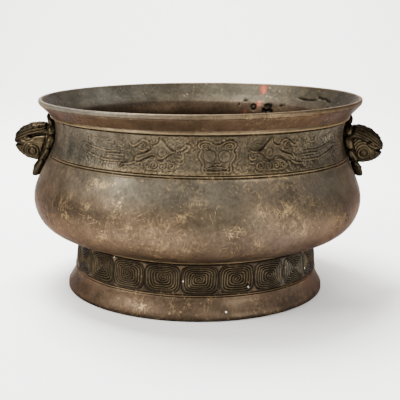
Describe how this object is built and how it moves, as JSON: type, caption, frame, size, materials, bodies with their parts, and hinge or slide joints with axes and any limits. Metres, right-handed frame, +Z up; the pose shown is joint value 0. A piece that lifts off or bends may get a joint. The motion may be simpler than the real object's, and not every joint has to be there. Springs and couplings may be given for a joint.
{
  "type": "incense_burner",
  "caption": "Cast bronze incense burner: wide bowl with flared rim, relief frieze on the neck, beast-head side handles and a ring foot with squared spirals.",
  "frame": {"origin": "on the ground under the middle of the burner, at the level of the foot's flat underside", "axes": "+X towards the right handle, along the longest extent; +Y towards the back; +Z up"},
  "size_m": [0.3489, 0.3084, 0.1823],
  "materials": {
    "brown_bronze": "satin",
    "dark_bronze": "satin"
  },
  "bodies": {
    "root": {"vessel": "brown_bronze", "left_handle": "dark_bronze", "right_handle": "dark_bronze"}
  },
  "joints": []
}
